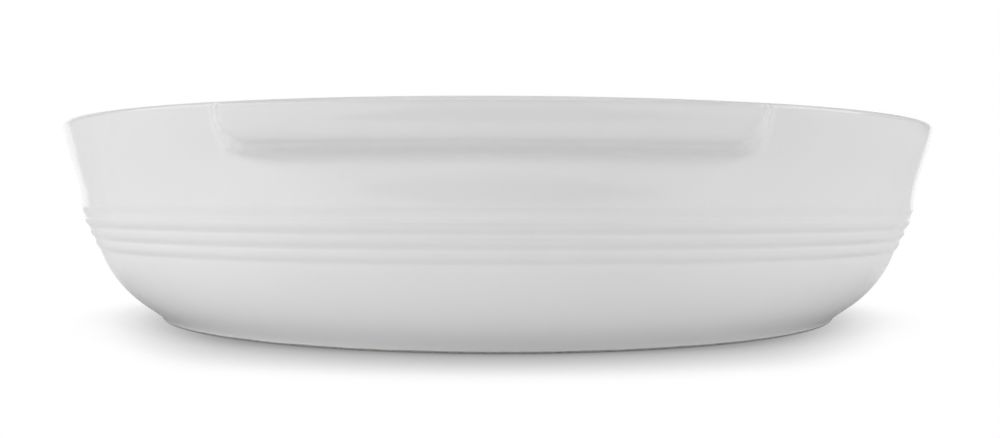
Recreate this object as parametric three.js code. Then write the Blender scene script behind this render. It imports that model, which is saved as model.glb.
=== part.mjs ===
// Oval stoneware baking dish: a glazed bowl with a ribbed band, a wide lug handle luted to each end of
// the rim, and a foot ring under the floor. Millimetres, +Z up. The long axis lies along Y, and the
// origin is the centre of the plane that the foot stands on.
import * as THREE from "three";
import { LoftGeometry } from "three/addons/geometries/LoftGeometry.js";

const { degToRad } = THREE.MathUtils;

// Bowl
const RIM_WIDTH = 250; // outside the rim, across X
const RIM_LENGTH = 360; // outside the rim, along Y, without the handles
const HEIGHT = 53.2; // from the standing plane to the top of the rim
const RIM_OUTER_ROUND = 1; // radius of the rim's outer edge
const RIM_INNER_ROUND = 4; // radius of the rim's inner edge, which meets the outer one on the crest
const RIM_LEAN = degToRad(9); // outward lean of the outside wall where it meets the rim
const INSIDE_LEAN = degToRad(16); // outward lean of the inside wall
const INSIDE_CORNER = 24; // radius between the inside wall and the floor
const FLOOR_THICKNESS = 6.5;
const BELLY_RADIUS = 30; // round of the outside between the foot and the ribbed band

// Ribbed band, whose grooves lie on a slanted line
const RIB_COUNT = 3;
const RIB_PITCH = 3.1; // groove to groove, in height
const RIB_DEPTH = 0.4; // crest above its grooves
const BAND_BOTTOM = 19.3; // height of the lowest groove
const BAND_BOTTOM_INSET = 9.9; // lowest groove, in from the rim
const BAND_TOP_INSET = 5.5; // highest groove, in from the rim
const LIP_RISE = 2.6; // lip of the wall above the highest groove
const LIP_INSET = 4.8; // lip of the wall, in from the rim

// Foot ring
const FOOT_HEIGHT = 2;
const FOOT_INSET = 25.6; // outer edge of the ring's top, in from the rim
const FOOT_WIDTH = 8; // across the ring's top
const FOOT_DRAFT = 1; // how far each side leans in towards the standing face

// Lug handles
const HANDLE_SPAN = 105.5; // across X, measured along the rim
const HANDLE_REACH = 11.5; // out from the rim
const HANDLE_DROOP = 1.1; // top of the handle below the top of the rim
const HANDLE_EDGE = 0.9; // radius of the front edge of the top
const HANDLE_NOSE_DEPTH = 5; // how far the front curves back, from that edge down to the underside
const HANDLE_NOSE_DROP = 7.5; // how far it curves down
const HANDLE_NOSE_TURN = degToRad(75); // how far round that quarter ellipse the underside begins
const HANDLE_ROOT = 13; // depth of the root on the wall, from the top of the rim
const HANDLE_COVE_RISE = 3.2; // pull of the cove under the handle, up the wall
const HANDLE_COVE_REACH = 4.2; // pull of the cove, along the underside
const HANDLE_SEAT = degToRad(40); // where the handle's top meets the round of the rim, up from level
const HANDLE_END = 4; // length over which each end rounds off
const HANDLE_END_SHARE = 0.4; // share of the handle's depth that is left at the end faces
const JOINT_GAP = 0.3; // slip joint between a handle and the wall

// Facets
const RING_STEPS = 80;
const BELLY_STEPS = 6;
const RIB_STEPS = 4;
const WALL_STEPS = 5;
const RIM_STEPS = 4;
const CORNER_STEPS = 6;
const HANDLE_STEPS = 12;
const HANDLE_END_STEPS = 3;
const EDGE_STEPS = 2;
const NOSE_STEPS = 5;
const JOINT_STEPS = 4;
const SEAT_STEPS = 3;
const UNDERSIDE_STEPS = 6;

const GLAZE = { color: "#efeeed", roughness: 0.12, metalness: 0 };
const BARE_STONEWARE = { color: "#a29e98", roughness: 0.85, metalness: 0 };

// Profile points are (distance out from the rim line, height).
const point = (out, height) => new THREE.Vector2(out, height);

const outerCentre = point(-RIM_OUTER_ROUND, HEIGHT - RIM_OUTER_ROUND);
const innerCentre = point(-RIM_OUTER_ROUND, HEIGHT - RIM_INNER_ROUND);
const floorHeight = FOOT_HEIGHT + FLOOR_THICKNESS;
const bandTop = BAND_BOTTOM + RIB_COUNT * RIB_PITCH;

// An arc from one angle to another, turning the way that its angles run.
function arc(centre, radius, from, to) {
  return new THREE.ArcCurve(centre.x, centre.y, radius, from, to, to < from);
}

// The outside wall from the lip over the ribs to the round of the rim. Its controls are evenly spaced in
// height, so its parameter runs with the height.
const lip = point(-LIP_INSET, bandTop + LIP_RISE);
const outerRound = arc(outerCentre, RIM_OUTER_ROUND, -RIM_LEAN, Math.PI / 2);
const wallTop = outerRound.getPoint(0);
const wallThird = (wallTop.y - lip.y) / 3;
const wall = new THREE.CubicBezierCurve(
  lip,
  point(lip.x, lip.y + wallThird),
  point(wallTop.x - wallThird * Math.tan(RIM_LEAN), wallTop.y - wallThird),
  wallTop,
);

// The arc of a given radius from one point to another, bulging to the right of that way.
function bulge(from, to, radius, steps) {
  const half = to.clone().sub(from).multiplyScalar(0.5);
  const reach = Math.sqrt(radius ** 2 - half.lengthSq());
  const left = point(-half.y, half.x).setLength(reach);
  const centre = from.clone().add(half).add(left);
  const start = from.clone().sub(centre).angle();
  const sweep = 2 * Math.asin(half.length() / radius);
  return arc(centre, radius, start, start + sweep).getPoints(steps);
}

// The grooves of the ribbed band, lowest first.
function grooves() {
  const bottom = point(-BAND_BOTTOM_INSET, BAND_BOTTOM);
  const top = point(-BAND_TOP_INSET, bandTop);
  return Array.from({ length: RIB_COUNT + 1 }, (_, i) => bottom.clone().lerp(top, i / RIB_COUNT));
}

// The ribs between the grooves, and the half rib that ends at the lip of the wall.
function ribs() {
  const lines = grooves();
  const points = [];
  lines.slice(1).forEach((upper, i) => {
    const middle = lines[i].clone().lerp(upper, 0.5);
    const crest = point(middle.x + 2 * RIB_DEPTH, middle.y);
    points.push(...new THREE.QuadraticBezierCurve(lines[i], crest, upper).getPoints(RIB_STEPS).slice(1));
  });
  const shoulder = point(lip.x, bandTop + LIP_RISE / 2);
  const half = new THREE.QuadraticBezierCurve(lines[RIB_COUNT], shoulder, lip);
  return [...points, ...half.getPoints(Math.ceil(RIB_STEPS / 2)).slice(1)];
}

// The outside of the bowl from the edge of its underside up to the crest of the rim.
function outsideProfile() {
  const crease = point(-FOOT_INSET, FOOT_HEIGHT);
  return [
    ...bulge(crease, grooves()[0], BELLY_RADIUS, BELLY_STEPS),
    ...ribs(),
    ...wall.getPoints(WALL_STEPS).slice(1),
    ...outerRound.getPoints(RIM_STEPS).slice(1),
  ];
}

// The inside of the bowl from the crest of the rim down to the edge of the flat floor.
function insideProfile() {
  const innerRound = arc(innerCentre, RIM_INNER_ROUND, Math.PI / 2, Math.PI - INSIDE_LEAN);
  const down = point(-Math.sin(INSIDE_LEAN), -Math.cos(INSIDE_LEAN));
  const inwards = point(-Math.cos(INSIDE_LEAN), Math.sin(INSIDE_LEAN));
  const top = innerRound.getPoint(1);
  const fall = (top.y + INSIDE_CORNER * inwards.y - floorHeight - INSIDE_CORNER) / -down.y;
  const centre = top.clone().addScaledVector(down, fall).addScaledVector(inwards, INSIDE_CORNER);
  const corner = arc(centre, INSIDE_CORNER, -INSIDE_LEAN, -Math.PI / 2);
  return [...innerRound.getPoints(RIM_STEPS).slice(1), ...corner.getPoints(CORNER_STEPS)];
}

// The place at an angle round the oval, a distance out from the rim line, at a height.
function place(angle, { x: out, y: height }) {
  const across = Math.cos(angle);
  const along = Math.sin(angle);
  const step = point(across * RIM_LENGTH, along * RIM_WIDTH).setLength(out);
  return new THREE.Vector3(
    (across * RIM_WIDTH) / 2 + step.x,
    (along * RIM_LENGTH) / 2 + step.y,
    height,
  );
}

const ringAngles = Array.from({ length: RING_STEPS }, (_, i) => (i / RING_STEPS) * 2 * Math.PI);

// A section all round the oval through one profile point, and one that closes on the axis.
const ring = (profilePoint) => ringAngles.map((angle) => place(angle, profilePoint));
const pole = (height) => ringAngles.map(() => new THREE.Vector3(0, 0, height));

function bodyGeometry() {
  const profile = [...outsideProfile(), ...insideProfile()];
  return new LoftGeometry([pole(FOOT_HEIGHT), ...profile.map(ring), pole(floorHeight)]);
}

function footGeometry() {
  const section = [
    point(-FOOT_INSET - FOOT_DRAFT, 0),
    point(-FOOT_INSET - FOOT_WIDTH + FOOT_DRAFT, 0),
    point(-FOOT_INSET - FOOT_WIDTH, FOOT_HEIGHT),
    point(-FOOT_INSET, FOOT_HEIGHT),
  ];
  const sections = ringAngles.map((angle) => section.map((corner) => place(angle, corner)));
  return new LoftGeometry([...sections, sections[0]]);
}

// The handle's side of the joint with the wall, at a height.
function jointAt(height) {
  const share = Math.min((height - lip.y) / (wallTop.y - lip.y), 1);
  return point(wall.getPoint(share).x + JOINT_GAP, height);
}

// The handle's full outside: round the edge of its top, down the nose, and back under it to the root.
function handleSkin(root) {
  const brow = HEIGHT - HANDLE_DROOP - HANDLE_EDGE;
  const edge = arc(point(HANDLE_REACH - HANDLE_EDGE, brow), HANDLE_EDGE, Math.PI / 2, 0);
  const noseX = HANDLE_REACH - HANDLE_NOSE_DEPTH;
  const nose = new THREE.EllipseCurve(
    noseX, brow, HANDLE_NOSE_DEPTH, HANDLE_NOSE_DROP, 0, -HANDLE_NOSE_TURN, true,
  );
  const noseFoot = nose.getPoint(1);
  const upWall = jointAt(root.y + 1).sub(root).normalize();
  const underside = new THREE.CubicBezierCurve(
    noseFoot,
    noseFoot.clone().addScaledVector(nose.getTangent(1), HANDLE_COVE_REACH),
    root.clone().addScaledVector(upWall, HANDLE_COVE_RISE),
    root,
  );
  return [
    ...edge.getPoints(EDGE_STEPS),
    ...nose.getPoints(NOSE_STEPS).slice(1),
    ...underside.getPoints(UNDERSIDE_STEPS).slice(1),
  ];
}

// One handle's section, with the given share of its full depth out from the wall: up the joint with the
// wall and the rim, and back round the outside.
function handleProfile(share) {
  const root = jointAt(HEIGHT - HANDLE_ROOT);
  const step = (wallTop.y - root.y) / JOINT_STEPS;
  const joint = Array.from({ length: JOINT_STEPS - 1 }, (_, i) => jointAt(root.y + step * (i + 1)));
  const seat = arc(outerCentre, RIM_OUTER_ROUND + JOINT_GAP, -RIM_LEAN, HANDLE_SEAT);
  const skin = handleSkin(root).map((corner) => jointAt(corner.y).lerp(corner, share));
  return [...joint, ...seat.getPoints(SEAT_STEPS), ...skin];
}

// Each end rounds off in plan as a quarter of an ellipse, from the full depth to the end face.
function handleStations() {
  const full = HANDLE_SPAN / 2 - HANDLE_END;
  const end = [];
  for (let i = 1; i <= HANDLE_END_STEPS; i += 1) {
    const turn = (i / HANDLE_END_STEPS) * (Math.PI / 2);
    end.push({
      across: full + HANDLE_END * Math.sin(turn),
      share: HANDLE_END_SHARE + (1 - HANDLE_END_SHARE) * Math.cos(turn),
    });
  }
  const straight = Array.from({ length: HANDLE_STEPS + 1 }, (_, i) => ({
    across: full * ((2 * i) / HANDLE_STEPS - 1),
    share: 1,
  }));
  const otherEnd = end.map(({ across, share }) => ({ across: -across, share })).reverse();
  return [...otherEnd, ...straight, ...end];
}

// The handle at the -Y end.
function handleGeometry() {
  const sections = handleStations().map(({ across, share }) => {
    const angle = -Math.acos(across / (RIM_WIDTH / 2));
    return handleProfile(share).map((corner) => place(angle, corner));
  });
  return new LoftGeometry(sections, { capStart: true, capEnd: true });
}

function piece(name, geometry, finish) {
  const mesh = new THREE.Mesh(geometry, new THREE.MeshStandardMaterial(finish));
  mesh.name = name;
  return mesh;
}

const dish = new THREE.Group();
dish.name = "oval_baking_dish";
dish.add(piece("dish_body", bodyGeometry(), GLAZE));
dish.add(piece("foot_ring", footGeometry(), BARE_STONEWARE));
dish.add(piece("handle_front", handleGeometry(), GLAZE));

const handleRear = piece("handle_rear", handleGeometry(), GLAZE);
handleRear.rotation.z = Math.PI;
dish.add(handleRear);

export default dish;
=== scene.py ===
"""Oval stoneware baking dish in a glossy white glaze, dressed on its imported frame.

A shallow oval bowl with three soft ribs round its wall stands on a low foot ring, and a wide lug
handle is luted to the rim at each end. Sizes in the classes are millimetres. Meshes are metres in the
frame's own axes: +Z up, +Y from the front lug to the rear lug, origin in the plane it stands on.
"""
import logging
import math
from dataclasses import dataclass
from enum import Enum
from typing import Any

import bpy
import numpy as np
from mathutils import Matrix, Vector


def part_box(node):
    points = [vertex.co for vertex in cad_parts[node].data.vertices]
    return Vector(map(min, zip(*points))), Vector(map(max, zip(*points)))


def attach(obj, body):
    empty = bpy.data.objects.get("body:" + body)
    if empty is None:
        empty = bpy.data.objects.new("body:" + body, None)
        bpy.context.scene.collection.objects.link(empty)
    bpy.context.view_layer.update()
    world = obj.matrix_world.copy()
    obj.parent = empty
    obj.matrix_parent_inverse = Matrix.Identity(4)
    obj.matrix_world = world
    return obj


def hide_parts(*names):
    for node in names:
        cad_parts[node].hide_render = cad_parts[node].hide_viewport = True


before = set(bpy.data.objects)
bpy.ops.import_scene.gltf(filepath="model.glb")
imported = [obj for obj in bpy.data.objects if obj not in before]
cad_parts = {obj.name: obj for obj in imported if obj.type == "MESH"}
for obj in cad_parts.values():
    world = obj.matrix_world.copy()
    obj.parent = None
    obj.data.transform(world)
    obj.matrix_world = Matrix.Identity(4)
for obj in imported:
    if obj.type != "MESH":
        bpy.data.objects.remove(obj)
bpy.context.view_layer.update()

MM = 0.001
IMAGE_WIDTH = 1000
IMAGE_HEIGHT = 438
GLAZE_LAYER = "glaze_depth"
# Depth of the glaze on a flat face, and the middle of a noise's range
LEVEL_GLAZE = 0.5
# Weights that even out the bend of an outline between neighbouring points
BEND_WEIGHTS = (0.25, 0.5, 0.25)
# Point in the bowl that the lamps face, in metres
DISH_MIDDLE = (0.0, 0.0, 0.03)
# Rounds after which the search for a level place stands still
LEVEL_ROUNDS = 12
# Places of the factor, the two colours and the mixed colour on a colour mix node
MIX_FACTOR, MIX_A, MIX_B, MIX_RESULT = 0, 6, 7, 2

log = logging.getLogger("baking_dish")


class End(Enum):
    """The end of the dish that a lug is luted to, as its turn about the vertical in radians."""

    FRONT = 0.0
    REAR = math.pi


class Slot(Enum):
    """The record's material slots."""

    GLAZE = "white_glaze"
    STONEWARE = "bare_stoneware"


def linear(hex_colour: str) -> tuple[float, float, float, float]:
    """Turn an sRGB colour into the linear values that shaders take.

    Args:
        hex_colour: Colour written as #rrggbb.

    Returns:
        Linear red, green and blue, with an alpha of one.
    """
    levels = [int(hex_colour[i:i + 2], 16) / 255 for i in (1, 3, 5)]
    red, green, blue = [v / 12.92 if v <= 0.04045 else ((v + 0.055) / 1.055) ** 2.4 for v in levels]
    return red, green, blue, 1.0


def per_metre(size_mm: float) -> float:
    """Texture scale at which one cell of a pattern measures this many millimetres."""
    return 1 / (size_mm * MM)


def add_node(
    tree: bpy.types.NodeTree,
    kind: str,
    settings: dict[str, Any] | None = None,
    values: dict[str | int, Any] | None = None,
    links: dict[str | int, bpy.types.NodeSocket] | None = None,
) -> bpy.types.Node:
    """Add one shader node, set it up and link its inputs.

    Args:
        tree: Node tree that takes the node.
        kind: Blender's name for the type of node.
        settings: Properties of the node itself.
        values: Fixed values of its input sockets, by name or place.
        links: Output sockets that feed its inputs, by the input's name or place.

    Returns:
        The new node.
    """
    node = tree.nodes.new(kind)
    for name, value in (settings or {}).items():
        setattr(node, name, value)
    for key, value in (values or {}).items():
        node.inputs[key].default_value = value
    for key, socket in (links or {}).items():
        tree.links.new(socket, node.inputs[key])
    return node


def new_material(name: str) -> bpy.types.Material:
    """An empty node material of this name."""
    material = bpy.data.materials.new(name)
    material.use_nodes = True
    material.node_tree.nodes.clear()
    return material


def add_noise(
    tree: bpy.types.NodeTree, place: bpy.types.NodeSocket, size_mm: float, detail: float,
) -> bpy.types.NodeSocket:
    """Add a noise that fills the object's own space.

    Args:
        tree: Node tree that takes the noise.
        place: Socket with the place on the object.
        size_mm: Size of one cell in millimetres.
        detail: Octaves of finer noise on top.

    Returns:
        The noise's level.
    """
    return add_node(
        tree, "ShaderNodeTexNoise", values={"Scale": per_metre(size_mm), "Detail": detail},
        links={"Vector": place},
    ).outputs["Fac"]


def add_mirrored(tree: bpy.types.NodeTree, rays: Any) -> bpy.types.NodeSocket:
    """Add the test for a ray that was mirrored or let through.

    Args:
        tree: Node tree that takes the test.
        rays: Outputs of a light path node.

    Returns:
        One for such a ray and zero for any other.
    """
    return add_node(
        tree, "ShaderNodeMath", {"operation": "MAXIMUM"},
        links={0: rays["Is Glossy Ray"], 1: rays["Is Transmission Ray"]},
    ).outputs[0]


def bezier(controls: list[Any], steps: int, first: float = 0.0) -> np.ndarray:
    """Points along a Bezier curve, evenly spaced in its parameter.

    Args:
        controls: Control points, each a distance out and a height.
        steps: Number of steps along the curve.
        first: Parameter to start from.

    Returns:
        Points shaped (steps + 1, 2).
    """
    share = np.linspace(first, 1.0, steps + 1)[:, None]
    points = [np.broadcast_to(np.asarray(c, dtype=float), (steps + 1, 2)) for c in controls]
    while len(points) > 1:
        points = [a + (b - a) * share for a, b in zip(points, points[1:])]
    return points[0]


def arc(centre: Any, radius: Any, start: float, end: float, steps: int) -> np.ndarray:
    """Points along an arc of a circle or an upright ellipse.

    Args:
        centre: Distance out and height of the centre.
        radius: Radius of the circle, or the ellipse's radii outwards and upwards.
        start: First angle in degrees, with 0 pointing outwards and 90 up.
        end: Last angle in degrees.
        steps: Number of steps along the arc.

    Returns:
        Points shaped (steps + 1, 2).
    """
    turn = np.radians(np.linspace(start, end, steps + 1))
    return np.asarray(centre) + np.asarray(radius) * np.stack([np.cos(turn), np.sin(turn)], axis=-1)


def along(outline: np.ndarray) -> np.ndarray:
    """Distance along an outline at each of its points."""
    steps = np.linalg.norm(np.diff(outline, axis=0), axis=1)
    return np.concatenate([[0.0], np.cumsum(steps)])


def outward(outline: np.ndarray) -> np.ndarray:
    """Unit normals to the right of an outline's direction, one for each point."""
    tangent = np.gradient(outline, axis=0)
    tangent /= np.linalg.norm(tangent, axis=1)[:, None]
    return np.stack([tangent[:, 1], -tangent[:, 0]], axis=-1)


def glaze_depth(outline: np.ndarray, reach: float = 0.5) -> np.ndarray:
    """How deep the glaze lies along an outline: it runs thin over crests and pools in hollows.

    Args:
        outline: Outline with its clay on the left hand.
        reach: Depth lost for a bend of one radian in a millimetre.

    Returns:
        One depth for each point, from 0 where it is thinnest to 1 where it pools.
    """
    tangent = np.gradient(outline, axis=0)
    heading = np.unwrap(np.arctan2(tangent[:, 1], tangent[:, 0]))
    bend = np.gradient(heading, along(outline))
    bend = np.convolve(np.pad(bend, 1, mode="edge"), BEND_WEIGHTS, mode="valid")
    return np.clip(LEVEL_GLAZE - reach * bend, 0.0, 1.0)


def quads(index: np.ndarray) -> list[list[int]]:
    """Four-sided faces between the neighbours in a grid of point numbers.

    Args:
        index: Point numbers, with rows going up the outside and columns anticlockwise.

    Returns:
        Corners of each face, in the order that faces it outwards.
    """
    corners = [index[:-1, :-1], index[:-1, 1:], index[1:, 1:], index[1:, :-1]]
    return np.stack(corners, axis=-1).reshape(-1, 4).tolist()


def edge_ring(patch: np.ndarray) -> np.ndarray:
    """Point numbers round the edge of a patch, in order."""
    return np.concatenate([patch[0, :-1], patch[:-1, -1], patch[-1, :0:-1], patch[:0:-1, 0]])


def make_piece(
    name: str,
    points: np.ndarray,
    faces: list[list[int]],
    glaze: np.ndarray,
    seams: list[np.ndarray],
) -> bpy.types.Object:
    """Make a smooth piece and put it in the scene.

    Args:
        name: Name of the piece.
        points: Points in millimetres, shaped (count, 3).
        faces: Corners of each face.
        glaze: Depth of the glaze at each point.
        seams: Closed rings of point numbers where two surfaces meet without blending.

    Returns:
        The new object.
    """
    mesh = bpy.data.meshes.new(name)
    mesh.from_pydata((points * MM).tolist(), [], faces, shade_flat=False)
    layer = mesh.attributes.new(GLAZE_LAYER, "FLOAT", "POINT")
    layer.data.foreach_set("value", glaze.astype(np.float32))
    if seams:
        ends = np.empty(len(mesh.edges) * 2, dtype=np.int32)
        mesh.edges.foreach_get("vertices", ends)
        edges = np.sort(ends.reshape(-1, 2).astype(np.int64), axis=1)
        seam_edges = np.concatenate([np.stack([ring, np.roll(ring, -1)], axis=-1) for ring in seams])
        seam_edges = np.sort(seam_edges.astype(np.int64), axis=1)
        count = len(points)
        sharp = np.isin(edges @ [count, 1], seam_edges @ [count, 1])
        mesh.attributes.new("sharp_edge", "BOOLEAN", "EDGE").data.foreach_set("value", sharp)
    piece = bpy.data.objects.new(name, mesh)
    bpy.context.scene.collection.objects.link(piece)
    return piece


def fit_piece(piece: bpy.types.Object, node: str, material: bpy.types.Material) -> None:
    """Dress a piece and let it stand for a node of the frame.

    Args:
        piece: The piece.
        node: Name of the node that it replaces.
        material: Finish of the piece.
    """
    piece.data.materials.append(material)
    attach(piece, "root")
    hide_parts(node)
    log.info("%s: %d faces in %s", piece.name, len(piece.data.polygons), material.name)


@dataclass(frozen=True)
class Oval:
    """The oval that the outer edge of the rim follows."""

    half_width: float
    half_length: float

    def place(self, angles: np.ndarray, outline: np.ndarray) -> np.ndarray:
        """Stand an outline square to the oval at each station.

        Args:
            angles: One angle for each station, in radians.
            outline: Distances out from the oval and heights, shaped (rows, 1 or stations, 2).

        Returns:
            Points shaped (rows, stations, 3).
        """
        across, lengthwise = np.cos(angles), np.sin(angles)
        normal = np.stack([across * self.half_length, lengthwise * self.half_width])
        normal /= np.linalg.norm(normal, axis=0)
        out, height = np.broadcast_arrays(outline[..., 0], outline[..., 1])
        x = self.half_width * across + normal[0] * out
        y = self.half_length * lengthwise + normal[1] * out
        return np.stack([x, y, np.broadcast_to(height, x.shape)], axis=-1)

    def level_with(self, x: np.ndarray, out: np.ndarray) -> np.ndarray:
        """Angles along the front of the oval at which points come level with given places across it.

        Args:
            x: Place of each point across the oval.
            out: Distance of each point out from the oval.

        Returns:
            One angle for each point, in radians.
        """
        across = x / self.half_width
        for _ in range(LEVEL_ROUNDS):
            lean = np.stack([across * self.half_length, np.sqrt(1 - across ** 2) * self.half_width])
            across = (x - out * lean[0] / np.linalg.norm(lean, axis=0)) / self.half_width
        return -np.arccos(across)


@dataclass(frozen=True)
class WhiteGlaze:
    """Opaque white stoneware glaze, dipped and fired.

    It sets to a glass that mirrors the lights softly, waves a little where it ran, has the fine peel
    of a fired glaze and lets a little of the grey clay through where it runs thin on a crest. Its colour
    is also lighter low down and darker high up, partly glaze that sagged and partly painted fill light
    on the lower belly and painted shade on the upper wall.
    """

    # thin and pooled are the glaze's own two tones; the mix between them also carries painted fill light
    # low on the belly and painted shade high on the wall
    thin: str = "#e8e8e8"
    pooled: str = "#f2f2f2"
    ior: float = 1.56
    smoothest: float = 0.07
    dullest: float = 0.13
    cloud_size: float = 26.0
    cloud_detail: float = 3.0
    cloud_share: float = 0.35
    # Heights between which the glaze goes from lightest to darkest: partly glaze that sagged, partly
    # painted fill light low and painted shade high
    thick_and_lit_height: float = 8.0
    thin_and_shaded_height: float = 45.0
    sag_and_light_share: float = 0.35
    run_size: float = 17.0
    run_height: float = 0.05
    peel_size: float = 2.4
    peel_height: float = 0.004
    relief_detail: float = 1.0

    def material(self) -> bpy.types.Material:
        """Make the glaze's material."""
        material = new_material("white_stoneware_glaze")
        tree = material.node_tree
        place = add_node(tree, "ShaderNodeTexCoord").outputs["Object"]
        depth = add_node(tree, "ShaderNodeAttribute", {"attribute_name": GLAZE_LAYER}).outputs["Fac"]
        cloud = add_noise(tree, place, self.cloud_size, self.cloud_detail)
        cloudy = add_node(
            tree, "ShaderNodeMath", {"operation": "MULTIPLY_ADD"},
            {1: self.cloud_share, 2: -LEVEL_GLAZE * self.cloud_share},
            {0: cloud},
        ).outputs[0]
        height = add_node(tree, "ShaderNodeSeparateXYZ", links={"Vector": place}).outputs["Z"]
        # Painted light: lighter low on the belly and darker high on the wall, partly glaze that sagged and
        # partly painted fill and painted shade
        sag_and_painted_light = add_node(
            tree, "ShaderNodeMapRange",
            values={
                "From Min": self.thick_and_lit_height * MM, "From Max": self.thin_and_shaded_height * MM,
                "To Min": LEVEL_GLAZE * self.sag_and_light_share, "To Max": -LEVEL_GLAZE * self.sag_and_light_share,
            },
            links={"Value": height},
        ).outputs["Result"]
        uneven_and_painted_light = add_node(
            tree, "ShaderNodeMath", {"operation": "ADD"}, links={0: cloudy, 1: sag_and_painted_light},
        ).outputs[0]
        cover_and_painted_light = add_node(
            tree, "ShaderNodeMath", {"operation": "ADD", "use_clamp": True}, links={0: depth, 1: uneven_and_painted_light},
        ).outputs[0]
        colour = add_node(
            tree, "ShaderNodeMix", {"data_type": "RGBA"},
            {MIX_A: linear(self.thin), MIX_B: linear(self.pooled)},
            {MIX_FACTOR: cover_and_painted_light},
        ).outputs[MIX_RESULT]
        gloss = add_node(
            tree, "ShaderNodeMapRange",
            values={"To Min": self.dullest, "To Max": self.smoothest},
            links={"Value": cover_and_painted_light},
        ).outputs["Result"]
        runs = add_noise(tree, place, self.run_size, self.relief_detail)
        run_bump = add_node(
            tree, "ShaderNodeBump", values={"Distance": self.run_height * MM}, links={"Height": runs},
        ).outputs["Normal"]
        peel = add_noise(tree, place, self.peel_size, self.relief_detail)
        normal = add_node(
            tree, "ShaderNodeBump", values={"Distance": self.peel_height * MM},
            links={"Height": peel, "Normal": run_bump},
        ).outputs["Normal"]
        shader = add_node(
            tree, "ShaderNodeBsdfPrincipled", values={"IOR": self.ior},
            links={"Base Color": colour, "Roughness": gloss, "Normal": normal},
        )
        add_node(tree, "ShaderNodeOutputMaterial", links={"Surface": shader.outputs["BSDF"]})
        return material


@dataclass(frozen=True)
class WipedStonewarePaintedShade:
    """Grey stoneware, glazed on its sides and wiped bare on the face that it stands on and round its lower
    edge.

    The bare clay is matt, with the grit of the fired body, and the glaze ends in a line that wavers
    where the sponge passed. The dark bare band is partly the wiped foot and partly a painted contact
    shadow, and the side's glaze is a darker copy of the bowl's glaze, painted shade near the floor.
    """

    # glaze: a darker copy of the bowl's white glaze, painted shade on the foot's side near the floor
    glaze: str = "#e4e4e4"
    # clay and grit: the bare band's greys, partly the bare body and partly painted contact shadow
    clay: str = "#a29e98"
    grit: str = "#78726b"
    ior: float = 1.5
    glaze_roughness: float = 0.12
    clay_roughness: float = 0.85
    # Height of the bare band, partly the wiped foot and partly a painted contact shadow line
    wiped_and_shadow_height: float = 0.5
    line_softness: float = 0.12
    line_waver: float = 0.3
    waver_size: float = 9.0
    waver_detail: float = 2.0
    grit_size: float = 0.9
    grit_detail: float = 4.0
    grit_from: float = 0.5
    grit_to: float = 0.8
    grit_height: float = 0.05

    def material(self) -> bpy.types.Material:
        """Make the foot's material."""
        material = new_material("wiped_foot_painted_shade")
        tree = material.node_tree
        place = add_node(tree, "ShaderNodeTexCoord").outputs["Object"]
        height = add_node(tree, "ShaderNodeSeparateXYZ", links={"Vector": place}).outputs["Z"]
        waver = add_noise(tree, place, self.waver_size, self.waver_detail)
        wavered = add_node(
            tree, "ShaderNodeMath", {"operation": "MULTIPLY_ADD"}, {1: self.line_waver * MM},
            {0: waver, 2: height},
        ).outputs[0]
        line = (self.wiped_and_shadow_height + LEVEL_GLAZE * self.line_waver) * MM
        glazed = add_node(
            tree, "ShaderNodeMapRange",
            values={"From Min": line - self.line_softness * MM, "From Max": line + self.line_softness * MM},
            links={"Value": wavered},
        ).outputs["Result"]
        grains = add_noise(tree, place, self.grit_size, self.grit_detail)
        gritty = add_node(
            tree, "ShaderNodeMapRange", values={"From Min": self.grit_from, "From Max": self.grit_to},
            links={"Value": grains},
        ).outputs["Result"]
        bare = add_node(
            tree, "ShaderNodeMix", {"data_type": "RGBA"},
            {MIX_A: linear(self.clay), MIX_B: linear(self.grit)},
            {MIX_FACTOR: gritty},
        ).outputs[MIX_RESULT]
        colour = add_node(
            tree, "ShaderNodeMix", {"data_type": "RGBA"}, {MIX_B: linear(self.glaze)},
            {MIX_FACTOR: glazed, MIX_A: bare},
        ).outputs[MIX_RESULT]
        roughness = add_node(
            tree, "ShaderNodeMapRange",
            values={"To Min": self.clay_roughness, "To Max": self.glaze_roughness},
            links={"Value": glazed},
        ).outputs["Result"]
        grain_share = add_node(
            tree, "ShaderNodeMapRange", values={"To Min": 1.0, "To Max": 0.0}, links={"Value": glazed},
        ).outputs["Result"]
        normal = add_node(
            tree, "ShaderNodeBump", values={"Distance": self.grit_height * MM},
            links={"Height": grains, "Strength": grain_share},
        ).outputs["Normal"]
        shader = add_node(
            tree, "ShaderNodeBsdfPrincipled", values={"IOR": self.ior},
            links={"Base Color": colour, "Roughness": roughness, "Normal": normal},
        )
        add_node(tree, "ShaderNodeOutputMaterial", links={"Surface": shader.outputs["BSDF"]})
        return material


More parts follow.
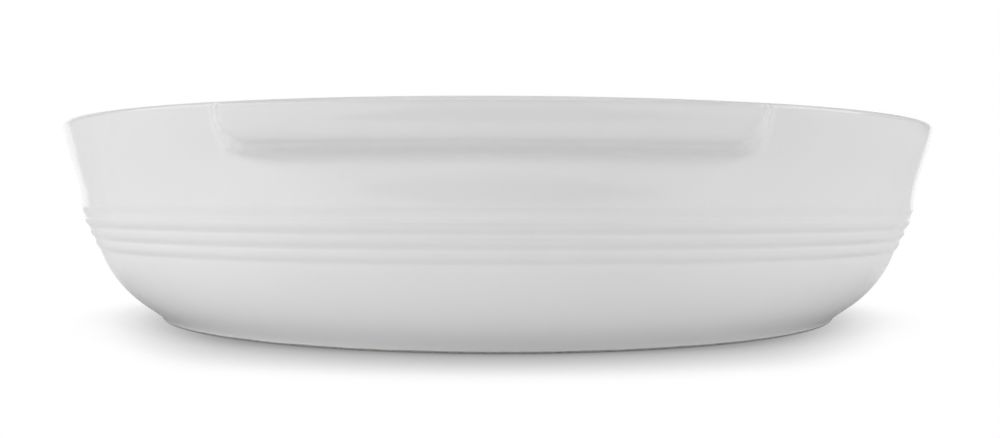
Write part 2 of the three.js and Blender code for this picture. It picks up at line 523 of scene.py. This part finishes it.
@dataclass(frozen=True)
class SweepPaper:
    """Matt white studio paper, which shows white except for a painted shadow round and under the dish.

    The camera sees the paper glow white, darkened by a painted shadow where the dish hides an even white
    dome and lightened by painted fill light at the dish's sides; the glaze mirrors that glow a little
    darker and without the side fill, and every other ray meets the paper under the studio's own lamps.
    """

    colour: str = "#fafafa"
    # Painted shadow on the paper's glow: how far it looks for the dish, its samples, its darkest level, the
    # open share at which it turns white, and how it deepens
    shade_reach: float = 300.0
    shade_samples: int = 16
    darkest: float = 0.27
    white_from: float = 0.7
    shade_depth: float = 1.4
    # Painted fill light that lifts the glow at the dish's sides, for the camera only, and where it starts
    # and ends across the paper in millimetres; then the dimming of the glow in the glaze
    painted_side_fill: float = 0.3
    fill_from: float = 55.0
    fill_to: float = 105.0
    mirrored_level: float = 0.7

    def material(self) -> bpy.types.Material:
        """Make the paper's material."""
        material = new_material("white_sweep_paper")
        tree = material.node_tree
        rays = add_node(tree, "ShaderNodeLightPath").outputs
        mirrored = add_mirrored(tree, rays)
        seen = add_node(
            tree, "ShaderNodeMath", {"operation": "MAXIMUM"}, links={0: rays["Is Camera Ray"], 1: mirrored},
        ).outputs[0]
        paper = add_node(tree, "ShaderNodeBsdfDiffuse", values={"Color": linear(self.colour)})
        # Painted shadow: the glow darkens where the dish hides the open dome from the paper, not where a
        # lamp's light is blocked
        open_share = add_node(
            tree, "ShaderNodeAmbientOcclusion", {"samples": self.shade_samples},
            {"Distance": self.shade_reach * MM},
        ).outputs["AO"]
        lit = add_node(
            tree, "ShaderNodeMapRange", values={"From Max": self.white_from}, links={"Value": open_share},
        ).outputs["Result"]
        deepened = add_node(
            tree, "ShaderNodeMath", {"operation": "POWER"}, {1: self.shade_depth}, {0: lit},
        ).outputs[0]
        shade = add_node(
            tree, "ShaderNodeMapRange", values={"To Min": self.darkest}, links={"Value": deepened},
        ).outputs["Result"]
        place = add_node(tree, "ShaderNodeTexCoord").outputs["Object"]
        across = add_node(tree, "ShaderNodeSeparateXYZ", links={"Vector": place}).outputs["X"]
        sideways = add_node(
            tree, "ShaderNodeMath", {"operation": "ABSOLUTE"}, links={0: across},
        ).outputs[0]
        # Painted fill light at the dish's sides, seen only by the camera
        painted_fill = add_node(
            tree, "ShaderNodeMapRange", {"interpolation_type": "SMOOTHSTEP"},
            {"From Min": self.fill_from * MM, "From Max": self.fill_to * MM, "To Max": self.painted_side_fill},
            {"Value": sideways},
        ).outputs["Result"]
        seen_painted_fill = add_node(
            tree, "ShaderNodeMath", {"operation": "MULTIPLY"}, links={0: painted_fill, 1: rays["Is Camera Ray"]},
        ).outputs[0]
        level = add_node(
            tree, "ShaderNodeMath", {"operation": "ADD", "use_clamp": True}, links={0: shade, 1: seen_painted_fill},
        ).outputs[0]
        dimming = add_node(
            tree, "ShaderNodeMapRange", values={"To Min": 1.0, "To Max": self.mirrored_level},
            links={"Value": mirrored},
        ).outputs["Result"]
        strength = add_node(
            tree, "ShaderNodeMath", {"operation": "MULTIPLY"}, links={0: level, 1: dimming},
        ).outputs[0]
        shown = add_node(tree, "ShaderNodeEmission", links={"Strength": strength})
        mixed = add_node(
            tree, "ShaderNodeMixShader",
            links={0: seen, 1: paper.outputs["BSDF"], 2: shown.outputs["Emission"]},
        )
        add_node(tree, "ShaderNodeOutputMaterial", links={"Surface": mixed.outputs["Shader"]})
        return material


@dataclass(frozen=True)
class Bowl:
    """The oval bowl: underside, belly, ribbed band, wall, rounded rim and smooth inside."""

    oval: Oval
    height: float
    foot_height: float
    foot_inset: float
    rim_outer_round: float = 1.0
    rim_inner_round: float = 4.0
    rim_lean: float = 9.0
    inside_lean: float = 16.0
    inside_corner: float = 24.0
    floor_thickness: float = 6.5
    belly_radius: float = 30.0
    foot_draft: float = 1.0
    fillet_drop: float = 1.2
    fillet_reach: float = 5.0
    rib_count: int = 3
    rib_pitch: float = 3.1
    rib_depth: float = 0.4
    rib_softness: float = 1.6
    band_bottom: float = 19.3
    band_bottom_inset: float = 9.9
    band_top_inset: float = 5.5
    lip_rise: float = 2.6
    lip_inset: float = 4.8
    floor_insets: tuple[float, ...] = (48.0, 62.0, 76.0)
    underside_inset: float = 36.0
    pocket_depth: float = 0.4
    side_stations: int = 110
    belly_steps: int = 28
    fillet_steps: int = 16
    rib_steps: int = 16
    wall_steps: int = 30
    flare_steps: int = 200
    seat_wall_steps: int = 120
    seat_rim_steps: int = 60
    crest_steps: int = 8
    rim_steps: int = 18
    inside_steps: int = 14
    corner_steps: int = 24

    def rim_turn(self) -> np.ndarray:
        """Centre of the round on the outer edge of the rim."""
        return np.array([-self.rim_outer_round, self.height - self.rim_outer_round])

    def wall_top(self) -> np.ndarray:
        """Point where the wall runs into the round on the rim's outer edge."""
        return arc(self.rim_turn(), self.rim_outer_round, -self.rim_lean, -self.rim_lean, 1)[0]

    def belly(self) -> np.ndarray:
        """Points up the belly, from the foot to the lowest groove of the band."""
        start = np.array([-self.foot_inset, self.foot_height])
        end = np.array([-self.band_bottom_inset, self.band_bottom])
        chord = end - start
        half = np.linalg.norm(chord) / 2
        inwards = np.array([-chord[1], chord[0]]) / (2 * half)
        centre = (start + end) / 2 + inwards * math.sqrt(self.belly_radius ** 2 - half ** 2)
        first = math.degrees(math.atan2(*(start - centre)[::-1]))
        sweep = math.degrees(2 * math.asin(half / self.belly_radius))
        return arc(centre, self.belly_radius, first, first + sweep, self.belly_steps)

    def foot_fillet(self) -> np.ndarray:
        """Points down the foot's side to where the fillet ends, then up the fillet and the belly."""
        belly = self.belly()
        corner = belly[0]
        down = np.array([-self.foot_draft, -self.foot_height]) / self.foot_height
        tip = corner + self.fillet_drop * down
        joined = int(np.searchsorted(along(belly), self.fillet_reach))
        onto = belly[joined] - belly[joined + 1]
        onto *= self.fillet_reach / 2 / np.linalg.norm(onto)
        controls = [tip, tip - self.fillet_drop / 2 * down, belly[joined] + onto, belly[joined]]
        fillet = bezier(controls, self.fillet_steps)
        return np.concatenate([[corner], fillet, belly[joined + 1:]])

    def ribs(self) -> np.ndarray:
        """Points up the ribbed band, over its ribs and out to the lip where the wall begins."""
        turns = np.arange(self.rib_steps * self.rib_count + 1) / self.rib_steps
        swell = self.rib_depth * np.abs(np.sin(np.pi * turns)) ** self.rib_softness
        groove = -np.interp(turns, [0, self.rib_count], [self.band_bottom_inset, self.band_top_inset])
        band = np.stack([groove + swell, self.band_bottom + self.rib_pitch * turns], axis=-1)
        share = np.arange(1, self.rib_steps + 1) / self.rib_steps
        step_out = self.band_top_inset - self.lip_inset
        flare_out = step_out * np.sin(np.pi / 2 * share) ** self.rib_softness
        flare = np.stack([flare_out, self.lip_rise * share], axis=-1)
        return np.concatenate([band, band[-1] + flare])

    def wall_controls(self) -> list[np.ndarray]:
        """Control points of the wall's flare, upright at the lip and leaning out at the rim."""
        lip, top = self.ribs()[-1], self.wall_top()
        rise = (top[1] - lip[1]) / 3
        lean = rise * math.tan(math.radians(self.rim_lean))
        return [lip, lip + [0, rise], top - [lean, rise], top]

    def wall_to(self, height: float) -> np.ndarray:
        """Points up the wall from the lip to a height.

        Args:
            height: Height to stop at.

        Returns:
            Points shaped (steps + 1, 2).
        """
        lip, top = self.ribs()[-1], self.wall_top()
        points = bezier(self.wall_controls(), self.flare_steps)
        heights = np.linspace(lip[1], min(height, top[1]), self.wall_steps + 1)
        return np.stack([np.interp(heights, points[:, 1], points[:, 0]), heights], axis=-1)

    def seat_above(self, height: float, rim_angle: float) -> np.ndarray:
        """Fine points up the wall and round the rim, where a lug is luted on.

        Args:
            height: Height on the wall to start from.
            rim_angle: Angle on the rim's outer round to stop at, in degrees.

        Returns:
            Points shaped (count, 2).
        """
        lip, top = self.ribs()[-1], self.wall_top()
        first = (height - lip[1]) / (top[1] - lip[1])
        wall = bezier(self.wall_controls(), self.seat_wall_steps, first)
        rim = arc(self.rim_turn(), self.rim_outer_round, -self.rim_lean, rim_angle, self.seat_rim_steps)
        return np.concatenate([wall, rim[1:]])

    def inside(self, rim_angle: float) -> np.ndarray:
        """Points over the rim from an angle on its outer round, and down the inside to the floor.

        Args:
            rim_angle: Angle on the rim's outer round to start from, in degrees.

        Returns:
            Points shaped (count, 2).
        """
        crest = arc(self.rim_turn(), self.rim_outer_round, rim_angle, 90, self.crest_steps)
        turn = np.array([-self.rim_outer_round, self.height - self.rim_inner_round])
        over = arc(turn, self.rim_inner_round, 90, 180 - self.inside_lean, self.rim_steps)
        lean = math.radians(self.inside_lean)
        into = np.array([math.cos(lean), -math.sin(lean)])
        floor = self.foot_height + self.floor_thickness
        corner_height = floor + self.inside_corner
        drop = over[-1, 1] - corner_height - self.inside_corner * into[1]
        foot_of_wall = over[-1] - drop * np.array([math.tan(lean), 1.0])
        centre = foot_of_wall - self.inside_corner * into
        corner = arc(centre, self.inside_corner, -self.inside_lean, -90, self.corner_steps)
        straight = np.linspace(over[-1], corner[0], self.inside_steps + 1)
        flat = np.array([[-inset, floor] for inset in self.floor_insets])
        return np.concatenate([crest[1:], over[1:], straight[1:], corner[1:], flat])

    def build(self, lug: "Lug") -> bpy.types.Object:
        """Build the bowl, with a shallow pocket in its wall behind each lug.

        Args:
            lug: The lug whose seat the pockets follow.

        Returns:
            The bowl.
        """
        insets = (*self.floor_insets[::-1], self.underside_inset)
        underside = np.array([[-inset, self.foot_height] for inset in insets])
        below = [underside, self.foot_fillet(), self.ribs()[1:], self.wall_to(lug.root_height())[1:-1]]
        seat = lug.seat_rows()
        outline = np.concatenate([*below, seat, self.inside(lug.rim_angle)])
        front = lug.angles()
        sides = np.linspace(front[-1], front[0] + math.pi, self.side_stations + 1)[1:-1]
        angles = np.concatenate([front, sides, front + math.pi, sides + math.pi])
        rows, stations = len(outline), len(angles)
        first_row = sum(len(stretch) for stretch in below)
        last_row = first_row + len(seat) - 1

        grid = self.oval.place(angles, outline[:, None, :])
        sunk = self.oval.place(angles, (outline - self.pocket_depth * outward(outline))[:, None, :])
        index = np.arange(rows * stations).reshape(rows, stations)
        seams = [index[len(underside)], index[len(underside) + 1]]
        for start in (0, len(front) + len(sides)):
            behind = slice(start + 1, start + len(front) - 1)
            grid[first_row + 1:last_row, behind] = sunk[first_row + 1:last_row, behind]
            patch = index[first_row:last_row + 1, start:start + len(front)]
            seams.append(edge_ring(patch))

        poles = np.array([[0, 0, self.foot_height], [0, 0, self.foot_height + self.floor_thickness]])
        points = np.concatenate([grid.reshape(-1, 3), poles])
        around = np.hstack([index, index[:, :1]])
        low, high = rows * stations, rows * stations + 1
        fans = [[low, b, a] for a, b in zip(around[0, :-1].tolist(), around[0, 1:].tolist())]
        fans += [[a, b, high] for a, b in zip(around[-1, :-1].tolist(), around[-1, 1:].tolist())]
        depth = np.repeat(glaze_depth(outline), stations)
        depth = np.concatenate([depth, [LEVEL_GLAZE] * 2])
        return make_piece("glazed_bowl", points, quads(around) + fans, depth, seams)


@dataclass(frozen=True)
class Lug:
    """A wide lug handle that grows out of the wall and the rim at one end of the dish."""

    bowl: Bowl
    end: End
    reach: float
    span: float = 119.6
    end_fillet: float = 2.4
    end_share: float = 0.25
    end_round: float = 3.8
    corner_top: float = 49.5
    corner_width: float = 2.2
    corner_stretch: float = 2.6
    edge_round: float = 0.9
    nose_depth: float = 5.0
    nose_drop: float = 7.5
    nose_turn: float = 75.0
    droop: float = 1.1
    root_drop: float = 14.5
    cove_rise: float = 4.6
    cove_reach: float = 4.6
    rim_angle: float = 50.0
    top_fall: float = 2.0
    top_pull: float = 4.5
    crown_pull: float = 1.4
    back_depth: float = 0.3
    close_lengths: float = 3.0
    end_steps: int = 40
    corner_steps: int = 55
    middle_steps: int = 40
    under_steps: int = 24
    nose_steps: int = 28
    edge_steps: int = 14
    top_steps: int = 18

    def root_height(self) -> float:
        """Height on the wall where the underside of the lug begins."""
        return self.bowl.height - self.root_drop

    def angles(self) -> np.ndarray:
        """Angles of the stations across the front lug, close together where its ends round off."""
        half = self.span / 2
        end_length = self.end_fillet + self.end_round
        corner = np.linspace(end_length, self.close_lengths * end_length, self.corner_steps + 1)
        share = (1 - np.cos(np.linspace(0, np.pi, self.end_steps + 1))) / 2
        rounded = np.concatenate([share * end_length, corner[1:]])
        middle = np.linspace(rounded[-1] - half, half - rounded[-1], self.middle_steps + 1)
        across = np.concatenate([rounded - half, middle[1:-1], half - rounded[::-1]])
        return -np.arccos(across / self.bowl.oval.half_width)

    def fullness(self, heights: np.ndarray) -> np.ndarray:
        """How far each row stands out at each station, from 0 at the lug's ends to 1 along its middle.

        Args:
            heights: Height of each row.

        Returns:
            Shares shaped (rows, stations): out of the wall in a fillet, then round a corner. The lower
            rows begin further in and rise more slowly.
        """
        low = np.clip((self.corner_top - heights) / (self.corner_top - self.root_height()), 0, 1)[:, None]
        inset = self.corner_width * (1 - np.sqrt(1 - low ** 2))
        stretch = 1 + self.corner_stretch * low ** 2
        across = np.abs(self.bowl.oval.half_width * np.cos(self.angles()))
        from_end = (self.span / 2 - across[None, :] - inset) / stretch
        rise = np.clip(from_end / self.end_fillet, 0, 1)
        turn = np.clip((from_end - self.end_fillet) / self.end_round, 0, 1)
        return self.end_share * rise ** 2 + (1 - self.end_share) * (1 - (1 - turn) ** 2)

    def brow(self) -> float:
        """Height of the line where the nose runs into the round of the top edge."""
        return self.bowl.height - self.droop - self.edge_round

    def nose(self) -> np.ndarray:
        """Points up the round nose, from the underside to the top edge."""
        centre = [self.reach - self.nose_depth, self.brow()]
        return arc(centre, [self.nose_depth, self.nose_drop], -self.nose_turn, 0, self.nose_steps)

    def section(self) -> np.ndarray:
        """Full section of the lug: cove, underside, round nose, tight top edge, and top up to the rim.

        Returns:
            Points shaped (count, 2), from the root on the wall to the seat on the rim.
        """
        seat = self.bowl.seat_above(self.root_height(), self.rim_angle)
        root, crown = seat[0], seat[-1]
        up_wall = (seat[1] - seat[0]) / np.linalg.norm(seat[1] - seat[0])
        up_rim = (seat[-1] - seat[-2]) / np.linalg.norm(seat[-1] - seat[-2])
        nose, brow = self.nose(), self.brow()
        edge_turn = [self.reach - self.edge_round, brow]
        edge = arc(edge_turn, self.edge_round, 0, 90 - self.top_fall, self.edge_steps)
        outwards = (nose[1] - nose[0]) / np.linalg.norm(nose[1] - nose[0])
        fall = math.radians(self.top_fall)
        inwards = np.array([-math.cos(fall), math.sin(fall)])
        cove_low, cove_high = root + self.cove_rise * up_wall, nose[0] - self.cove_reach * outwards
        under = bezier([root, cove_low, cove_high, nose[0]], self.under_steps)
        top_far, top_near = edge[-1] + self.top_pull * inwards, crown - self.crown_pull * up_rim
        top = bezier([edge[-1], top_far, top_near, crown], self.top_steps)
        return np.concatenate([under, nose[1:], edge[1:], top[1:]])

    def seat_rows(self) -> np.ndarray:
        """Points on the wall and rim, level with the section's, that it shrinks to at the lug's ends."""
        seat = self.bowl.seat_above(self.root_height(), self.rim_angle)
        heights = self.section()[:, 1]
        return np.stack([np.interp(heights, seat[:, 1], seat[:, 0]), heights], axis=-1)

    def build(self) -> bpy.types.Object:
        """Build the lug as one closed piece, with its back in the pocket of the bowl's wall.

        Returns:
            The lug.
        """
        section, seat = self.section(), self.seat_rows()
        full = self.fullness(section[:, 1])
        rows, stations = full.shape
        blend = seat[:, None, :] + full[..., None] * (section - seat)[:, None, :]
        angles = self.angles()
        oval = self.bowl.oval
        joint = oval.place(angles, seat[:, None, :])
        skin = oval.place(oval.level_with(joint[..., 0], blend[..., 0]), blend)
        back = oval.place(angles[1:-1], (seat - self.back_depth * outward(seat))[1:-1, None, :])

        index = np.arange(rows * stations).reshape(rows, stations)
        back_index = index.copy()
        back_index[1:-1, 1:-1] = rows * stations + np.arange(back[..., 0].size).reshape(back.shape[:2])
        faces = quads(index) + [face[::-1] for face in quads(back_index)]
        points = np.concatenate([skin.reshape(-1, 3), back.reshape(-1, 3)])
        turn = math.cos(self.end.value)
        points = points * [turn, turn, 1.0]
        depth = LEVEL_GLAZE + full * (glaze_depth(section) - LEVEL_GLAZE)[:, None]
        depth = np.concatenate([depth.ravel(), np.full(back[..., 0].size, LEVEL_GLAZE)])
        return make_piece(f"{self.end.name.lower()}_lug", points, faces, depth, [edge_ring(index)])


@dataclass(frozen=True)
class FootRing:
    """The low ring under the bowl, with rounded edges round the face that it stands on."""

    oval: Oval
    height: float
    inset: float
    draft: float
    width: float = 8.0
    edge_round: float = 0.6
    stations: int = 360
    edge_steps: int = 8
    side_steps: int = 7
    face_steps: int = 9

    def build(self) -> bpy.types.Object:
        """Build the ring.

        Returns:
            The ring.
        """
        outer, inner = -self.inset, -self.inset - self.width
        lean = math.degrees(math.atan2(self.draft, self.height))
        low = self.edge_round * math.tan(math.radians(45 - lean / 2))
        outer_turn = np.array([outer - self.draft - low, self.edge_round])
        inner_turn = np.array([inner + self.draft + low, self.edge_round])
        outer_edge = arc(outer_turn, self.edge_round, -90, -lean, self.edge_steps)
        inner_edge = arc(inner_turn, self.edge_round, 180 + lean, 270, self.edge_steps)
        outer_side = np.linspace(outer_edge[-1], [outer, self.height], self.side_steps + 1)
        inner_side = np.linspace([inner, self.height], inner_edge[0], self.side_steps + 1)
        face = np.linspace(inner_edge[-1], outer_edge[0], self.face_steps + 1)
        outline = np.concatenate([outer_edge, outer_side[1:], inner_side, inner_edge[1:], face[1:-1]])
        angles = np.linspace(0, 2 * math.pi, self.stations, endpoint=False)
        points = self.oval.place(angles, outline[:, None, :])
        index = np.arange(len(outline) * self.stations).reshape(len(outline), self.stations)
        around = np.vstack([index, index[:1]])
        around = np.hstack([around, around[:, :1]])
        inner_top = len(outer_edge) + len(outer_side) - 1
        top = [index[inner_top - 1], index[inner_top]]
        depth = np.full(index.size, LEVEL_GLAZE)
        return make_piece("foot_ring_wiped_painted_shade", points.reshape(-1, 3), quads(around), depth, top)


@dataclass(frozen=True)
class SoftBox:
    """A soft rectangular lamp and the point that it faces. Places and sizes are metres, power is watts."""

    name: str
    place: tuple[float, float, float]
    aim: tuple[float, float, float]
    width: float
    height: float
    power: float
    mirrored: bool = True

    def build(self) -> None:
        """Hang the lamp."""
        lamp = bpy.data.lights.new(self.name, "AREA")
        lamp.shape = "RECTANGLE"
        lamp.size = self.width
        lamp.size_y = self.height
        lamp.energy = self.power
        rig = bpy.data.objects.new(self.name, lamp)
        rig.location = self.place
        facing = Vector(self.aim) - Vector(self.place)
        rig.rotation_euler = facing.to_track_quat("-Z", "Y").to_euler()
        rig.visible_camera = False
        rig.visible_glossy = self.mirrored
        bpy.context.scene.collection.objects.link(rig)


@dataclass(frozen=True)
class Card:
    """A card that only the glaze mirrors, standing or lying. Sizes are metres, level is its brightness."""

    name: str
    left: float
    right: float
    near: float
    far: float
    low: float
    high: float
    level: float

    def build(self) -> None:
        """Put the card in place."""
        near_edge = [(self.left, self.near, self.low), (self.right, self.near, self.low)]
        far_edge = [(self.right, self.far, self.high), (self.left, self.far, self.high)]
        mesh = bpy.data.meshes.new(self.name)
        mesh.from_pydata(near_edge + far_edge, [], [(0, 1, 2, 3)])
        material = new_material(f"{self.name}_paper")
        tree = material.node_tree
        paper = add_node(tree, "ShaderNodeEmission", values={"Strength": self.level})
        add_node(tree, "ShaderNodeOutputMaterial", links={"Surface": paper.outputs["Emission"]})
        mesh.materials.append(material)
        card = bpy.data.objects.new(self.name, mesh)
        card.visible_camera = False
        card.visible_diffuse = False
        card.visible_shadow = False
        bpy.context.scene.collection.objects.link(card)


@dataclass(frozen=True)
class Studio:
    """White sweep, soft lamps and the camera, low and close to the front lug."""

    paper: SweepPaper
    lamps: tuple[SoftBox, ...] = (
        SoftBox("left_front_softbox", (-0.85, -0.7, 0.42), DISH_MIDDLE, 0.8, 0.6, 1.3),
        SoftBox("right_front_softbox", (0.85, -0.7, 0.42), DISH_MIDDLE, 0.8, 0.6, 0.5),
        SoftBox("left_low_strip", (-0.85, -0.8, 0.1), DISH_MIDDLE, 1.0, 0.16, 2.9, mirrored=False),
        SoftBox("left_flank_strip", (-1.0, -0.35, 0.06), (0.0, 0.0, 0.02), 0.8, 0.1, 0.9, mirrored=False),
        SoftBox("right_low_strip", (0.85, -0.8, 0.1), DISH_MIDDLE, 1.0, 0.16, 3.0, mirrored=False),
        SoftBox("left_softbox", (-1.1, 0.0, 0.5), DISH_MIDDLE, 1.0, 0.8, 2.4),
        SoftBox("right_softbox", (1.1, 0.0, 0.5), DISH_MIDDLE, 1.0, 0.8, 3.5),
        SoftBox("front_top_strip", (0.0, -0.6, 0.95), (0.0, -0.5, 0.0), 1.2, 0.25, 1.1),
        SoftBox("top_softbox", (0.0, 0.1, 1.2), (0.0, 0.1, 0.0), 0.9, 0.9, 3.0),
        SoftBox("rear_softbox", (0.0, 1.2, 0.6), DISH_MIDDLE, 1.2, 0.6, 2.0),
    )
    cards: tuple[Card, ...] = (
        Card("white_backdrop", left=-0.59, right=0.48, near=0.75, far=0.75, low=0.0, high=0.9, level=1.0),
        # Painted reflection: a black card seen only in the glaze, standing in for the camera and its shadow
        # on the floor in front
        Card(
            "painted_camera_reflection_card", left=-0.115, right=0.16, near=-0.56, far=-0.25, low=0.001, high=0.001,
            level=0.0,
        ),
    )
    sky_strength: float = 0.13
    room_level: float = 0.55
    room_colour: str = "#ffffff"
    shown_level: float = 1.0
    floor_size: float = 12.0
    floor_drop: float = 0.2
    camera_distance: float = 490.9
    eye_height: float = 32.1
    camera_turn: float = 0.010
    camera_roll: float = 0.003
    focal_pixels: float = 1587.7
    centre_pixel: float = 498.9
    horizon_pixel: float = 203.2
    sensor_width: float = 36.0
    near_clip: float = 0.01

    def build_floor(self) -> None:
        """Lay the paper just under the foot."""
        half, level = self.floor_size / 2, -self.floor_drop * MM
        corners = [(-half, -half, level), (half, -half, level), (half, half, level), (-half, half, level)]
        mesh = bpy.data.meshes.new("sweep_floor")
        mesh.from_pydata(corners, [], [(0, 1, 2, 3)])
        mesh.materials.append(self.paper.material())
        floor = bpy.data.objects.new("sweep_floor", mesh)
        bpy.context.scene.collection.objects.link(floor)

    def build_sky(self) -> None:
        """Surround the dish with even light, in a room that looks white and mirrors as light grey."""
        world = bpy.data.worlds.new("white_room")
        world.use_nodes = True
        tree = world.node_tree
        tree.nodes.clear()
        rays = add_node(tree, "ShaderNodeLightPath").outputs
        mirrored = add_mirrored(tree, rays)
        white = linear(self.room_colour)
        light, room, shown = [
            add_node(
                tree, "ShaderNodeBackground", values={"Color": white, "Strength": level},
            ).outputs["Background"]
            for level in (self.sky_strength, self.room_level, self.shown_level)
        ]
        unseen = add_node(tree, "ShaderNodeMixShader", links={0: mirrored, 1: light, 2: room})
        mixed = add_node(
            tree, "ShaderNodeMixShader",
            links={0: rays["Is Camera Ray"], 1: unseen.outputs["Shader"], 2: shown},
        )
        add_node(tree, "ShaderNodeOutputWorld", links={"Surface": mixed.outputs["Shader"]})
        bpy.context.scene.world = world

    def build_camera(self) -> None:
        """Set the camera up at the photograph's viewing angle."""
        lens = bpy.data.cameras.new("photo_camera")
        lens.sensor_fit = "HORIZONTAL"
        lens.sensor_width = self.sensor_width
        lens.lens = self.focal_pixels * self.sensor_width / IMAGE_WIDTH
        lens.clip_start = self.near_clip
        heading = self.camera_turn - (IMAGE_WIDTH / 2 - self.centre_pixel) / self.focal_pixels
        tilt = math.pi / 2 - (IMAGE_HEIGHT / 2 - self.horizon_pixel) / self.focal_pixels
        place = Vector((
            self.camera_distance * math.sin(self.camera_turn),
            -self.camera_distance * math.cos(self.camera_turn),
            self.eye_height,
        ))
        camera = bpy.data.objects.new("photo_camera", lens)
        camera.matrix_world = (
            Matrix.Translation(place * MM)
            @ Matrix.Rotation(heading, 4, "Z")
            @ Matrix.Rotation(tilt, 4, "X")
            @ Matrix.Rotation(self.camera_roll, 4, "Z")
        )
        bpy.context.scene.collection.objects.link(camera)
        bpy.context.scene.camera = camera

    def build(self) -> None:
        """Build the studio."""
        self.build_camera()
        self.build_floor()
        self.build_sky()
        for fitting in (*self.cards, *self.lamps):
            fitting.build()
        bpy.context.scene.view_settings.view_transform = "Standard"


def main() -> None:
    """Build the dish from the frame's sizes, dress it and set up the studio."""
    logging.basicConfig(level=logging.INFO, format="%(message)s")
    _, bowl_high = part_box("dish_body")
    _, foot_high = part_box("foot_ring")
    lug_low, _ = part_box("handle_front")
    oval = Oval(bowl_high.x / MM, bowl_high.y / MM)
    foot_height = foot_high.z / MM
    foot_inset = oval.half_width - foot_high.x / MM
    bowl = Bowl(oval, bowl_high.z / MM, foot_height, foot_inset)
    reach = -lug_low.y / MM - oval.half_length

    glaze = WhiteGlaze().material()
    front = Lug(bowl, End.FRONT, reach)
    rear = Lug(bowl, End.REAR, reach)
    fit_piece(bowl.build(front), "dish_body", glaze)
    fit_piece(front.build(), "handle_front", glaze)
    fit_piece(rear.build(), "handle_rear", glaze)
    foot = FootRing(oval, foot_height, foot_inset, bowl.foot_draft)
    fit_piece(foot.build(), "foot_ring", WipedStonewarePaintedShade().material())

    Studio(SweepPaper()).build()


if __name__ == "__main__":
    main()
